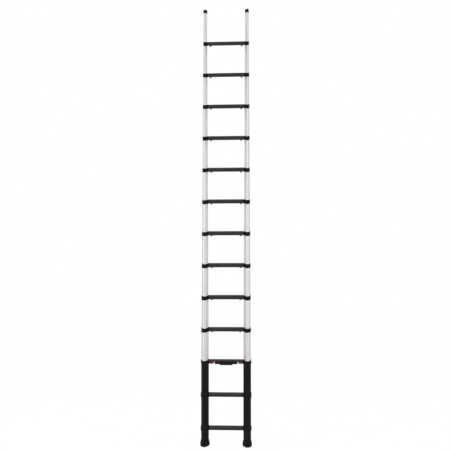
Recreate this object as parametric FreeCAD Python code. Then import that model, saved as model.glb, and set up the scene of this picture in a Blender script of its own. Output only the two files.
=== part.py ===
import FreeCAD, Part
import math
import os

from FreeCAD import Rotation, Vector

# Telescoping ladder, upright and fully extended. Millimetres, +Z up, X across,
# the climber stands on the -Y side. The origin is on the ground midway between
# the stiles. Two black base stiles carry two fixed rungs and the release rung.
# Ten stages slide out of them, each a pair of tubes with a collar on each tube
# and a rung between the collars. Two plain tubes with caps slide out of the top.

# ---- whole ladder -----------------------------------------------------------
stage_count = 10            # sliding stages that carry a rung
stile_spacing = 384.0       # between the middles of the two stiles
first_rung_height = 169.0   # middle of the lowest rung above the ground
fixed_rung_step = 300.0     # rung to rung in the base
stage_step = 292.0          # rung to rung above the base, pulled out
lean = 17.0                 # degrees the ladder leans in use: treads, collars and soles follow it
top_reach = 316.0           # top of the caps above the last rung

# ---- stile tubes, a rounded triangle with its apex towards the other stile ---
stile_width = 70.0          # outer side to apex, base stile
stile_depth = 80.0          # front corner to rear corner, base stile
ridge_from_side = 30.0      # outer side to the line through the two corners
corner_radius = 22.0
tube_wall = 1.35
slide_gap = 0.35            # between one tube and the next
tube_overlap = 95.0         # length a tube keeps inside the one below

# ---- collars ----------------------------------------------------------------
collar_height = 35.0        # square to the tread
collar_proud = 1.6          # sliding collar beyond its tube
base_collar_proud = 3.0
fixed_collar_height = 36.0
fixed_collar_proud = 5.0
collar_edge = 1.0           # rounding of the rims
collar_lip = 3.0            # plastic over the end of the tube, at the front
boss_length = 6.0           # stub that the rung butts against, beyond the tube
spigot_length = 12.0        # plug that reaches into the rung
fit_gap = 0.12              # between pieces fixed to each other round a curve
stack_gap = 0.6             # between two collars when the ladder is closed

# ---- rungs ------------------------------------------------------------------
rung_depth = 38.0
rung_height = 34.0
tread_corner = 4.0
belly_corner = 9.0
rung_wall = 1.8
groove_count = 5
groove_step = 5.6
groove_width = 2.4
groove_depth = 0.9

# ---- trip plungers under each sliding rung ------------------------------------
plunger_from_stile = 30.0   # apex of the tube to the middle of the plunger
plunger_width = 16.0
plunger_depth = 12.0
plunger_stands_out = 9.0
plunger_edge = 3.0
plunger_head_width = 20.0
plunger_head_depth = 17.0
plunger_head_height = 3.5
running_gap = 0.3           # between pieces that slide past each other

# ---- release rung ------------------------------------------------------------
release_tread_height = 12.0
housing_length = 204.0
housing_depth = 34.0
housing_height = 26.0
housing_wall = 2.5
housing_edge = 3.0
trigger_depth = 22.0
trigger_stem_length = 108.0
trigger_grip_top = 117.0
trigger_grip_foot = 101.0
trigger_grip_height = 9.6
trigger_wedge_foot = 124.0  # length of the wedge along its lower edge
trigger_wedge_height = 10.2
trigger_edge = 3.0
squeeze_travel = 2.0        # trigger up from its place as drawn
lock_travel = 6.0           # trigger down, which drives the pins home
wedge_gap = 0.5
link_thickness = 3.0
link_height = 14.0
link_in_slide = 10.0
slide_length = 33.0
slide_depth = 26.0
slide_edge = 3.0
pin_diameter = 8.0
pin_clearance = 0.1         # round the pin, in its bore
guide_depth = 16.0          # nose on the collar that the slide runs on
guide_height = 17.0
guide_edge = 2.0
pin_in_slide = 14.0
pin_below_rung = 7.3        # pin line below the middle of the release rung
pin_tip_edge = 1.0

# ---- feet ---------------------------------------------------------------------
boot_top = 66.0
boot_skirt_top = 32.0       # the flare starts to narrow here
boot_top_proud = 2.5
foot_proud = 8.5
boot_floor = 5.0            # between the rubber pad and the end of the tube, at the rear
pad_thickness = 8.0

# ---- caps -----------------------------------------------------------------------
cap_height = 34.0
cap_proud = 1.6
cap_crown = 8.0             # solid plastic above the end of the tube
cap_edge = 3.5

# ---- worked out from the sizes above ----------------------------------------------
tilt = math.radians(lean)
tube_step = tube_wall + slide_gap
release_rung_height = first_rung_height + 2 * fixed_rung_step
top_stage = stage_count + 1
top_height = release_rung_height + stage_count * stage_step + top_reach
half_width = stile_width / 2
half_depth = stile_depth / 2
ridge_u = half_width - ridge_from_side
corner_v = half_depth - corner_radius
apex_u = corner_radius - half_width
side_slack = half_width - corner_radius
outer_u = (side_slack**2 - ridge_u**2 - corner_v**2) / (2 * (side_slack - ridge_u))
outer_radius = half_width - outer_u
join_angle = math.atan2(corner_v, ridge_u - outer_u)
face_angle = math.atan2(ridge_u - apex_u, -corner_v)
foot_depth = half_depth + foot_proud
sole_rise = 2 * foot_depth * math.tan(tilt)
pad_rise = pad_thickness / math.cos(tilt)
base_tube_foot = sole_rise + pad_rise + boot_floor
closed_step = collar_height / math.cos(tilt) + stack_gap  # rung to rung, pushed together
slide_travel = stage_step - closed_step
far = 4 * stile_width       # longer than anything it is used to cut

# ---- levels of the release rung's pieces, drawn level about its middle --------------
under_tread = rung_height / 2 - release_tread_height
housing_floor = under_tread - housing_height
room_floor = housing_floor + housing_wall
wedge_floor = room_floor + running_gap + lock_travel
pin_y = -pin_below_rung * math.sin(tilt)
pin_z = -pin_below_rung * math.cos(tilt)
link_low = pin_z - link_height / 2
link_high = pin_z + link_height / 2


def rung_height_of(stage):
    """Height of the middle of a rung; stage 0 is the release rung."""
    return release_rung_height + stage * stage_step


def tube_inset(stage):
    """How far a stage's tube lies inside the outside of the base stile."""
    return stage * tube_step


def apex_x(stage):
    """Distance of a tube's inner apex from the middle of the ladder."""
    return stile_spacing / 2 - half_width + tube_inset(stage)


def rung_end_x(stage):
    """Half the length of a rung: its ends butt against the collars' bosses."""
    return apex_x(stage) - boss_length


def tube_top(stage):
    """Square end of a tube, a lip's thickness under the front of its collar."""
    rim = collar_height / 2 / math.cos(tilt)
    front = (half_depth - tube_inset(stage)) * math.tan(tilt)
    return rung_height_of(stage) + rim - front - collar_lip


def tube_bottom(stage):
    """Lower end of a tube, held inside the tube below."""
    return tube_top(stage - 1) - tube_overlap


def arc(center, radius, start, end):
    """Arc of a circle in a horizontal plane between two angles."""
    points = []
    for angle in (start, (start + end) / 2, end):
        points.append(center + Vector(radius * math.cos(angle), radius * math.sin(angle), 0))
    return Part.Arc(*points).toShape()


def stile_wire(offset, side, z):
    """Section of a stile at height z, moved out by offset (in where it is negative)."""
    radius = corner_radius + offset
    rear = Vector(ridge_u, corner_v, z)
    front = Vector(ridge_u, -corner_v, z)
    apex = Vector(apex_u, 0, z)
    across = Vector(radius * math.cos(face_angle), radius * math.sin(face_angle), 0)
    mirrored = Vector(across.x, -across.y, 0)
    edges = [
        arc(Vector(outer_u, 0, z), outer_radius + offset, -join_angle, join_angle),
        arc(rear, radius, join_angle, face_angle),
        Part.LineSegment(rear + across, apex + across).toShape(),
        arc(apex, radius, face_angle, 2 * math.pi - face_angle),
        Part.LineSegment(apex + mirrored, front + mirrored).toShape(),
        arc(front, radius, -face_angle, -join_angle),
    ]
    wire = Part.Wire(edges)
    if side < 0:
        wire = wire.mirror(Vector(0, 0, 0), Vector(1, 0, 0))
    wire.translate(Vector(side * stile_spacing / 2, 0, 0))
    return wire


def stile_prism(offset, side, bottom, top):
    """Solid with the stile's section between two heights."""
    face = Part.Face(stile_wire(offset, side, bottom))
    return face.extrude(Vector(0, 0, top - bottom))


def leaning(shape, height):
    """Turn a shape drawn with a level tread to the lean, and lift it to a height."""
    turned = shape.copy()
    turned.rotate(Vector(0, 0, 0), Vector(1, 0, 0), lean)
    turned.translate(Vector(0, 0, height))
    return turned


def block(x_low, x_high, y_low, y_high, z_low, z_high):
    """Box between two corners."""
    size = Vector(x_high - x_low, y_high - y_low, z_high - z_low)
    return Part.makeBox(size.x, size.y, size.z, Vector(x_low, y_low, z_low))


def rounded(shape, radius, chosen):
    """Round the edges for which chosen(edge) holds."""
    edges = [edge for edge in shape.Edges if chosen(edge)]
    return shape.makeFillet(radius, edges)


def is_upright(edge):
    """True for an edge parallel to Z."""
    box = edge.BoundBox
    return box.ZLength > max(box.XLength, box.YLength)


def is_across(edge):
    """True for an edge parallel to X."""
    box = edge.BoundBox
    return box.XLength > max(box.YLength, box.ZLength)


def at_level(level):
    """Test for edges that lie in the horizontal plane at a level."""
    return lambda edge: max(abs(edge.BoundBox.ZMin - level), abs(edge.BoundBox.ZMax - level)) < 1e-4


def tube_hole(x_low, x_high, side):
    """Cylinder along X on the lock pins' line, with the pins' running clearance."""
    radius = pin_diameter / 2 + pin_clearance
    start = Vector(side * x_low, 0, release_rung_height - pin_below_rung)
    return Part.makeCylinder(radius, x_high - x_low, start, Vector(side, 0, 0))


def make_tube(stage, side, bottom, top):
    """One tube of a stile."""
    outside = stile_prism(-tube_inset(stage), side, bottom, top)
    inside = stile_prism(-tube_inset(stage) - tube_wall, side, bottom - 1, top + 1)
    tube = outside.cut(inside)
    if stage < 2:
        apex = apex_x(stage)
        tube = tube.cut(tube_hole(apex - tube_step, apex + corner_radius, side))
    return tube


def rung_wire(depth, top, bottom, tread_round, belly_round, x):
    """Outline of a rung in the plane X = x: flat tread, round belly."""
    half = depth / 2
    corners = [
        (half - tread_round, top - tread_round, tread_round, 0),
        (-half + tread_round, top - tread_round, tread_round, 90),
        (-half + belly_round, bottom + belly_round, belly_round, 180),
        (half - belly_round, bottom + belly_round, belly_round, 270),
    ]
    arcs = []
    for y, z, radius, start in corners:
        points = []
        for turn in (0, 45, 90):
            angle = math.radians(start + turn)
            points.append(Vector(x, y + radius * math.cos(angle), z + radius * math.sin(angle)))
        arcs.append(points)
    edges = []
    for points, following in zip(arcs, arcs[1:] + arcs[:1]):
        edges.append(Part.Arc(*points).toShape())
        if (points[2] - following[0]).Length > 1e-6:
            edges.append(Part.LineSegment(points[2], following[0]).toShape())
    return Part.Wire(edges)


def rung_bar(x_low, x_high, inset, height):
    """Solid with the rung's section, inset all round; its tread is at the rung's top."""
    top = rung_height / 2 - inset
    bottom = rung_height / 2 - height + inset
    tread_round = max(tread_corner - inset, 0.5)
    belly_round = max(min(belly_corner, height / 2) - inset, 0.5)
    wire = rung_wire(rung_depth - 2 * inset, top, bottom, tread_round, belly_round, x_low)
    return Part.Face(wire).extrude(Vector(x_high - x_low, 0, 0))


def make_rung(half_length, height=rung_height):
    """Hollow rung with a grooved tread, drawn level about its own middle."""
    rung = rung_bar(-half_length, half_length, 0, height)
    rung = rung.cut(rung_bar(-half_length - 1, half_length + 1, rung_wall, height))
    floor = rung_height / 2 - groove_depth
    for i in range(groove_count):
        middle = (i - (groove_count - 1) / 2) * groove_step
        rung = rung.cut(block(-half_length - 1, half_length + 1, middle - groove_width / 2,
                              middle + groove_width / 2, floor, rung_height))
    return rung


def band(height, thickness):
    """Slab that leans with the treads, centred on a rung's middle."""
    return leaning(block(-far, far, -far, far, -thickness / 2, thickness / 2), height)


def make_collar(stage, side, height, thickness, proud, has_lip, rung_size):
    """Moulded collar: a leaning sleeve round the tube with a boss for the rung."""
    inset = tube_inset(stage)
    sleeve = stile_prism(proud - inset, side, height - far, height + far)
    sleeve = sleeve.common(band(height, thickness))
    rims = [edge for edge in sleeve.Edges if edge.BoundBox.ZLength < thickness]
    sleeve = sleeve.makeFillet(collar_edge, rims)
    boss_face = side * rung_end_x(stage)
    boss_root = side * (apex_x(stage) + corner_radius - inset)
    boss = leaning(rung_bar(min(boss_face, boss_root), max(boss_face, boss_root), 0, rung_height), height)
    spigot_end = boss_face - side * spigot_length
    spigot = rung_bar(min(spigot_end, boss_face), max(spigot_end, boss_face), rung_wall + fit_gap, rung_size)
    collar = sleeve.fuse([boss, leaning(spigot, height)])
    if has_lip:
        end = tube_top(stage)
        collar = collar.cut(stile_prism(fit_gap - inset, side, height - far, end))
        collar = collar.cut(stile_prism(-inset - tube_wall, side, end - 1, height + far))
    else:
        collar = collar.cut(stile_prism(fit_gap - inset, side, height - far, height + far))
    return collar


def plunger_block(x, width, depth, bottom, top):
    """Upright block with rounded corners, centred on the rung."""
    solid = block(x - width / 2, x + width / 2, -depth / 2, depth / 2, bottom, top)
    return rounded(solid, plunger_edge, is_upright)


def make_plunger(stage, side):
    """Trip plunger: a stem through the rung's floor under a head that keeps it in."""
    x = side * (apex_x(stage) - plunger_from_stile)
    floor = -rung_height / 2 + rung_wall
    head_foot = floor + running_gap
    head_top = head_foot + plunger_head_height
    foot = -rung_height / 2 - plunger_stands_out
    stem = plunger_block(x, plunger_width, plunger_depth, foot, head_foot + 1)
    stem = rounded(stem, plunger_edge / 2, at_level(foot))
    head = plunger_block(x, plunger_head_width, plunger_head_depth, head_foot, head_top)
    return stem.fuse(head)


def plunger_holes(stage):
    """Openings in the rung's floor that the two plungers run in."""
    holes = []
    for side in (-1, 1):
        x = side * (apex_x(stage) - plunger_from_stile)
        holes.append(plunger_block(x, plunger_width + 2 * running_gap, plunger_depth + 2 * running_gap,
                                   -rung_height, 0))
    return holes


def make_stage(stage):
    """Pieces of one sliding stage, at full extension."""
    height = rung_height_of(stage)
    sides = (-1, 1)
    tubes = [make_tube(stage, side, tube_bottom(stage), tube_top(stage)) for side in sides]
    collars = []
    for side in sides:
        collars.append(make_collar(stage, side, height, collar_height, collar_proud, True, rung_height))
    rung = make_rung(rung_end_x(stage)).cut(plunger_holes(stage))
    plungers = [make_plunger(stage, side) for side in sides]
    name = f"stage_{stage:02d}"
    return {
        f"{name}_tubes": tubes,
        f"{name}_collars": collars,
        f"{name}_rung": [leaning(rung, height)],
        f"{name}_trip_plungers": [leaning(plunger, height) for plunger in plungers],
    }


def make_top(side, name):
    """Plain top tube and its cap on one side."""
    tube_end = top_height - cap_crown
    inset = tube_inset(top_stage)
    tube = make_tube(top_stage, side, tube_bottom(top_stage), tube_end)
    cap = stile_prism(cap_proud - inset, side, top_height - cap_height, top_height)
    cap = rounded(cap, cap_edge, at_level(top_height))
    cap = cap.cut(stile_prism(fit_gap - inset, side, top_height - cap_height - 1, tube_end))
    return {f"top_tube_{name}": [tube], f"top_cap_{name}": [cap]}


def make_foot(side):
    """Boot round the end of a base stile, and the rubber pad under it."""
    flare = Part.makeLoft(
        [stile_wire(foot_proud, side, boot_skirt_top), stile_wire(boot_top_proud, side, boot_top)], True)
    skirt = stile_prism(foot_proud, side, -far, boot_skirt_top)
    whole = skirt.fuse(flare).removeSplitter()
    sole_middle = sole_rise / 2
    ground = leaning(block(-far, far, -far, far, 0, far), sole_middle)
    whole = whole.common(ground)
    floor = leaning(block(-far, far, -far, far, 0, far), sole_middle + pad_rise)
    pad = whole.cut(floor)
    boot = whole.common(floor)
    boot = boot.cut(stile_prism(fit_gap, side, base_tube_foot, boot_top + 1))
    return boot, pad


def pin_guide(x_low, x_high, gap):
    """Block on the lock pin's line: the collar's nose, or a slide's pocket where there is a gap."""
    half = guide_depth / 2 + gap
    half_height = guide_height / 2 + gap
    guide = block(x_low, x_high, pin_y - half, pin_y + half,
                  pin_z - half_height, pin_z + half_height)
    return rounded(guide, guide_edge + gap, is_across)


def make_base():
    """Base stiles, fixed rungs, their collars and the feet."""
    sides = (-1, 1)
    fixed_heights = (first_rung_height, first_rung_height + fixed_rung_step)
    fixed_rung = make_rung(rung_end_x(0))
    fixed_collars = []
    for height in fixed_heights:
        for side in sides:
            fixed_collars.append(make_collar(0, side, height, fixed_collar_height, fixed_collar_proud,
                                             False, rung_height))
    base_collars = []
    for side in sides:
        collar = make_collar(0, side, release_rung_height, collar_height, base_collar_proud,
                             True, release_tread_height)
        nose = leaning(pin_guide(rung_end_x(0) - lock_travel, rung_end_x(0) + 1, 0), release_rung_height)
        if side < 0:
            nose = nose.mirror(Vector(0, 0, 0), Vector(1, 0, 0))
        collar = collar.fuse(nose)
        base_collars.append(collar.cut(tube_hole(0, apex_x(0) + corner_radius, side)))
    feet = [make_foot(side) for side in sides]
    return {
        "base_stiles": [make_tube(0, side, base_tube_foot, tube_top(0)) for side in sides],
        "fixed_rung_lower": [leaning(fixed_rung, fixed_heights[0])],
        "fixed_rung_upper": [leaning(fixed_rung, fixed_heights[1])],
        "fixed_rung_collars": fixed_collars,
        "base_collars": base_collars,
        "foot_boots": [foot[0] for foot in feet],
        "foot_pads": [foot[1] for foot in feet],
    }


def plate(corners, y_low, y_high):
    """Flat plate with its outline in the XZ plane."""
    points = [Vector(x, y_low, z) for x, z in corners]
    return Part.Face(Part.makePolygon(points + points[:1])).extrude(Vector(0, y_high - y_low, 0))


def link_bar(x_low, x_high, gap):
    """Bar with the link's section, or a slot for it where there is a gap."""
    half = link_thickness / 2 + gap
    return block(x_low, x_high, pin_y - half, pin_y + half, link_low - gap, link_high + gap)


def pin_bar(radius, x_low, x_high):
    """Cylinder on the lock pin's line."""
    return Part.makeCylinder(radius, x_high - x_low, Vector(x_low, pin_y, pin_z), Vector(1, 0, 0))


def make_housing():
    """Housing under the tread, with a slot for the trigger and a window at each end."""
    half_length = housing_length / 2
    half = housing_depth / 2
    housing = block(-half_length, half_length, -half, half, housing_floor, under_tread)
    housing = rounded(housing, housing_edge, lambda edge: not at_level(under_tread)(edge))
    inner = half_length - housing_wall
    room = block(-inner, inner, -half + housing_wall, half - housing_wall,
                 room_floor, under_tread - housing_wall)
    stem = trigger_stem_length / 2 + running_gap
    slot_half = trigger_depth / 2 + running_gap
    slot = block(-stem, stem, -slot_half, slot_half, housing_floor - 1, room_floor + 1)
    return housing.cut([room, slot, link_bar(-far, far, running_gap)])


def make_trigger():
    """Squeeze trigger: a grip under the housing, a stem and a wedge inside."""
    half = trigger_depth / 2
    foot = trigger_wedge_foot / 2
    top = foot + trigger_wedge_height
    wedge = plate([(-foot, wedge_floor), (foot, wedge_floor),
                   (top, wedge_floor + trigger_wedge_height),
                   (-top, wedge_floor + trigger_wedge_height)], -half, half)
    grip_top = housing_floor - squeeze_travel - running_gap
    grip_low = grip_top - trigger_grip_height
    grip = plate([(-trigger_grip_foot / 2, grip_low), (trigger_grip_foot / 2, grip_low),
                  (trigger_grip_top / 2, grip_top), (-trigger_grip_top / 2, grip_top)], -half, half)
    grip = rounded(grip, trigger_edge, lambda edge: not at_level(grip_top)(edge))
    stem_half = trigger_stem_length / 2
    stem = block(-stem_half, stem_half, -half, half, grip_top - 1, wedge_floor + 1)
    return wedge.fuse([stem, grip])


def make_drawn_pieces():
    """Slide, link and lock pin of the right side.

    The trigger and the link meet on a slope of 45 degrees, so that the link
    moves sideways as far as the trigger moves up or down.
    """
    slide_outer = rung_end_x(0) - lock_travel - running_gap
    slide_inner = slide_outer - slide_length
    slide = block(slide_inner, slide_outer, -slide_depth / 2, slide_depth / 2,
                  housing_floor, under_tread - running_gap)
    slide = rounded(slide, slide_edge, lambda edge: True)
    link_root = slide_inner + link_in_slide
    pin_root = slide_outer - pin_in_slide
    slide = slide.cut([link_bar(0, link_root + fit_gap, fit_gap),
                       pin_bar(pin_diameter / 2 + pin_clearance, pin_root, far),
                       pin_guide(slide_outer - lock_travel, far, running_gap)])
    slope = trigger_wedge_foot / 2 + wedge_gap - wedge_floor
    link = plate([(link_root, link_low), (link_root, link_high),
                  (slope + link_high, link_high), (slope + link_low, link_low)],
                 pin_y - link_thickness / 2, pin_y + link_thickness / 2)
    pin_tip = apex_x(0) + tube_wall
    pin = pin_bar(pin_diameter / 2, pin_root, pin_tip)
    pin = pin.makeChamfer(pin_tip_edge, [edge for edge in pin.Edges if edge.BoundBox.XMin > pin_tip - 1e-4])
    return {"release_slide": slide, "release_link": link, "lock_pin": pin}


def make_release():
    """Release rung with its housing, squeeze trigger, slides, links and lock pins.

    The pieces are drawn level about the middle of the release rung, then leaned.
    """
    pieces = {
        "release_rung": make_rung(rung_end_x(0), release_tread_height),
        "release_housing": make_housing(),
        "release_trigger": make_trigger(),
    }
    for name, solid in make_drawn_pieces().items():
        pieces[f"{name}_left"] = solid.mirror(Vector(0, 0, 0), Vector(1, 0, 0))
        pieces[f"{name}_right"] = solid
    return {name: [leaning(solid, release_rung_height)] for name, solid in pieces.items()}


def export(name, solids):
    """Write one node as a group of separate solids."""
    parts = []
    for solid in solids:
        parts.extend(solid.Solids)
    shape = parts[0] if len(parts) == 1 else Part.makeCompound(parts)
    if not shape.isValid():
        raise ValueError(f"{name} is not a valid solid")
    shape.exportStep(f"parts/{name}.step")
    volume = sum(part.Volume for part in parts)
    print(f"{name}: {len(parts)} solids, {volume / 1000:.1f} cm3")


os.makedirs("parts", exist_ok=True)
ladder = make_base()
ladder.update(make_release())
for stage_number in range(1, stage_count + 1):
    ladder.update(make_stage(stage_number))
ladder.update(make_top(-1, "left"))
ladder.update(make_top(1, "right"))
for node, pieces_of_node in ladder.items():
    export(node, pieces_of_node)
print(f"{len(ladder)} nodes, top at {top_height:.1f} mm, each slide travels {slide_travel:.2f} mm")
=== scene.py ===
import math

import bmesh
import bpy
import numpy as np
from mathutils import Matrix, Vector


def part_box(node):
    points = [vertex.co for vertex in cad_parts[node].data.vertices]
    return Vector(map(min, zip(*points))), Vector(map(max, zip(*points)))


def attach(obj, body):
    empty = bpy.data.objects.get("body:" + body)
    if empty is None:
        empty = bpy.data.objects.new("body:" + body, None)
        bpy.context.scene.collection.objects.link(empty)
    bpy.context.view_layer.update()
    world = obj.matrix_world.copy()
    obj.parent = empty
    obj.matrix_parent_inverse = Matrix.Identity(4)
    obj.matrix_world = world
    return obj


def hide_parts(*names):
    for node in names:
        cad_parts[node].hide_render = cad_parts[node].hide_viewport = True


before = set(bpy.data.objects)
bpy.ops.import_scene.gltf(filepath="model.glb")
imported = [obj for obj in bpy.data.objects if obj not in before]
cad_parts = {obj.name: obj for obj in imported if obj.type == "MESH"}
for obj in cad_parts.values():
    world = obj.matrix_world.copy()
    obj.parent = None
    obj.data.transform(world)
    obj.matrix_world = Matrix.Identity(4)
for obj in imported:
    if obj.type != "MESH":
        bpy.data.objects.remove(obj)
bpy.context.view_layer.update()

scene = bpy.context.scene

# ==== Camera ==========================================================
# The viewer stands eight metres in front of the ladder, a step to its right, with
# the eye at chest height. The camera is tipped up two degrees and its lens raised
# for the rest, so that the stiles stay all but parallel from the feet to the caps.
eye_distance = 8.0
eye_height = 1.437
eye_to_the_right = math.radians(4.0)
eye_tipped_up = math.radians(2.15)
lens_length = 70.1
lens_raised = 0.0669
aim_left = -0.0024

camera_data = bpy.data.cameras.new("camera")
camera_data.lens = lens_length
camera_data.shift_y = lens_raised
camera_data.shift_x = aim_left
camera = bpy.data.objects.new("camera", camera_data)
camera.location = (eye_distance * math.sin(eye_to_the_right),
                   -eye_distance * math.cos(eye_to_the_right), eye_height)
camera.rotation_euler = (math.pi / 2 + eye_tipped_up, 0, eye_to_the_right)
scene.collection.objects.link(camera)
scene.camera = camera

# ==== Studio ==========================================================
# A pale floor under a white room. One tall soft lamp stands to the left of the
# viewer and a weaker one to the right, so left-facing metal is the brighter.
scene.view_settings.view_transform = "Standard"
floor_reach = 60.0
floor_tone = (0.88, 0.88, 0.88, 1)
floor_roughness = 0.9
floor_glow = 0.93               # share of plain glow in what the viewer sees of the floor
floor_white = 1.03              # strength of the glow that makes the lit floor plain white
room_light = 0.62               # strength of the room as the ladder sees it
key_lamp = {"at": (-4.6, -4.4, 3.4), "size": (2.2, 4.6), "power": 90.0}
fill_lamp = {"at": (5.2, -3.6, 3.1), "size": (2.4, 4.6), "power": 46.0}


def fed(tree, node, *values, **named):
    """A node with values for its inputs in order, and for its settings or inputs by name.

    A value that is another node's output is linked to the input.
    """
    pairs = list(zip(node.inputs, values))
    for name, value in named.items():
        if hasattr(node, name):
            setattr(node, name, value)
        else:
            pairs.append((node.inputs[name.replace("_", " ")], value))
    for socket, value in pairs:
        if isinstance(value, bpy.types.NodeSocket):
            tree.links.new(value, socket)
        else:
            socket.default_value = value
    return node


def node_in(tree, kind, *values, **named):
    """A new node of a kind, with its values."""
    return fed(tree, tree.nodes.new(kind), *values, **named)


def sum_of(tree, operation, *values):
    """The output of a Math node on sockets or numbers."""
    return node_in(tree, "ShaderNodeMath", *values, operation=operation).outputs[0]


def new_finish(name):
    """A new material, its node tree and its surface shader."""
    finish = bpy.data.materials.new(name)
    finish.use_nodes = True
    return finish, finish.node_tree, finish.node_tree.nodes["Principled BSDF"]


def soft_lamp(name, at, size, power):
    """A tall rectangular lamp that faces the middle of the ladder's front."""
    lamp = bpy.data.lights.new(name, "AREA")
    lamp.shape = "RECTANGLE"
    lamp.size, lamp.size_y = size
    lamp.energy = power
    stand = bpy.data.objects.new(name, lamp)
    turn = math.atan2(-at[0], -at[1])
    stand.location = at
    stand.rotation_euler = (math.pi / 2, 0, -turn)
    scene.collection.objects.link(stand)


def white_to_the_eye(tree):
    """1 for rays that come straight from the viewer or by way of gloss or glass, else 0."""
    rays = node_in(tree, "ShaderNodeLightPath").outputs
    seen = sum_of(tree, "MAXIMUM", rays["Is Camera Ray"], rays["Is Glossy Ray"])
    return sum_of(tree, "MAXIMUM", seen, rays["Is Transmission Ray"])


soft_lamp("key_lamp", **key_lamp)
soft_lamp("fill_lamp", **fill_lamp)

room = bpy.data.worlds.new("room")
room.use_nodes = True
scene.world = room
tree = room.node_tree
room_range = node_in(tree, "ShaderNodeMapRange", Value=white_to_the_eye(tree), To_Min=room_light, To_Max=1.0)
fed(tree, tree.nodes["Background"], Color=(1, 1, 1, 1), Strength=room_range.outputs["Result"])

floor_mesh = bpy.data.meshes.new("floor")
floor_corners = [(x * floor_reach, y * floor_reach, 0) for x, y in ((-1, -1), (1, -1), (1, 1), (-1, 1))]
floor_mesh.from_pydata(floor_corners, [], [(0, 1, 2, 3)])
floor = bpy.data.objects.new("floor", floor_mesh)
scene.collection.objects.link(floor)
paper, tree, paper_matt = new_finish("floor_paper")
fed(tree, paper_matt, Base_Color=floor_tone, Roughness=floor_roughness)
paper_glow = node_in(tree, "ShaderNodeEmission", Strength=floor_white)
glow_share = sum_of(tree, "MULTIPLY", white_to_the_eye(tree), floor_glow)
paper_mix = node_in(tree, "ShaderNodeMixShader", glow_share, paper_matt.outputs["BSDF"],
                    paper_glow.outputs["Emission"])
fed(tree, tree.nodes["Material Output"], Surface=paper_mix.outputs["Shader"])
floor_mesh.materials.append(paper)

# ==== Base stiles =====================================================
# Two straight tubes of drawn aluminium, sawn square and powder-coated black. In
# section each is a rounded triangle: a bowed outer side, two flat faces and a
# round apex towards the other stile. Everything above telescopes out of them.
SIDES = ((-1, "left"), (1, "right"))
stile_low, stile_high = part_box("base_stiles")
stile_width = 0.070
stile_depth = stile_high.y - stile_low.y
stile_spacing = stile_high.x - stile_low.x - stile_width
stile_corner = 0.022            # radius of all three corners
ridge_from_side = 0.030         # outer side to the line through the front and rear corners
tube_wall = 0.00135
saw_edge = 0.0004               # the burr taken off a sawn end
rub_reach = 0.012               # how far rubbing fades from a sawn end
pin_clearance = 0.0001          # round a lock pin, in its hole
drill_lead = 0.002              # a drill starts this far clear of what it cuts
smooth_up_to = math.radians(32)
coat_black = (0.0045, 0.0045, 0.0043, 1)
coat_scuffed = (0.060, 0.060, 0.062, 1)


def stile_outline():
    """Outline of the right-hand base stile about its own middle, and the way out at each point.

    Four arcs, taken anticlockwise: the bowed outer side, the rear corner, the apex
    and the front corner. The flat faces are the gaps between them. A point is its
    arc's middle plus the radius times the cosine and sine of an angle, and those
    two numbers are also the way out.
    """
    ridge = stile_width / 2 - ridge_from_side
    corner = stile_depth / 2 - stile_corner
    apex = stile_corner - stile_width / 2
    slack = stile_width / 2 - stile_corner
    bow = (slack**2 - ridge**2 - corner**2) / (2 * (slack - ridge))
    join = math.atan2(corner, ridge - bow)
    face = math.atan2(ridge - apex, -corner)
    # each arc: its middle across and in depth, radius, start, end and number of points
    arcs = ((bow, 0, stile_width / 2 - bow, -join, join, 44), (ridge, corner, stile_corner, join, face, 22),
            (apex, 0, stile_corner, face, 2 * math.pi - face, 24),
            (ridge, -corner, stile_corner, 2 * math.pi - face, 2 * math.pi - join, 22))
    points, ways = [], []
    for across, deep, radius, start, end, steps in arcs:
        last = steps if radius == stile_corner else steps - 1
        angles = start + (end - start) * np.arange(last) / (last - (1 if across == apex else 0))
        way = np.column_stack((np.cos(angles), np.sin(angles)))
        points.append((across, deep) + radius * way)
        ways.append(way)
    return np.vstack(points), np.vstack(ways)


outline_points, outline_ways = stile_outline()


def stile_ring(out, side, rise, slope=0.0):
    """The stile's outline moved out by a distance, on one side, at a height.

    out is one distance or one for each point. With a slope the ring climbs
    towards the back: z = rise + slope * y.
    """
    flat = outline_points + np.reshape(out, (-1, 1)) * outline_ways
    return np.column_stack((side * (stile_spacing / 2 + flat[:, 0]), flat[:, 1], rise + slope * flat[:, 1]))


def skin(name, rows, is_loop):
    """A mesh through rings of points, all of one length, with a quad between each four neighbours.

    A row is a ring and its wear, from 0 to 1, as one number or one for each point.
    It is kept as the attribute "wear", which the finishes read where edges are
    rubbed. A loop joins its last ring to its first; otherwise a face closes each end.
    """
    rings, wear = (np.array(part, float) for part in zip(*rows))
    count, around = rings.shape[:2]
    ring, turn = np.meshgrid(np.arange(count if is_loop else count - 1), np.arange(around), indexing="ij")
    corners = [(ring + up) % count * around + (turn + on) % around
               for up, on in ((0, 0), (0, 1), (1, 1), (1, 0))]
    faces = np.stack(corners, axis=-1).reshape(-1, 4).tolist()
    if not is_loop:
        faces.append(list(range(around))[::-1])
        faces.append(list(range((count - 1) * around, count * around)))
    mesh = bpy.data.meshes.new(name)
    mesh.from_pydata(rings.reshape(-1, 3).tolist(), [], faces)
    wear = np.broadcast_to(wear.reshape(count, -1), (count, around))
    layer = mesh.attributes.new("wear", "FLOAT", "POINT")
    layer.data.foreach_set("value", wear.ravel().astype(np.float32))
    return faced_outward(mesh)


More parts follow.
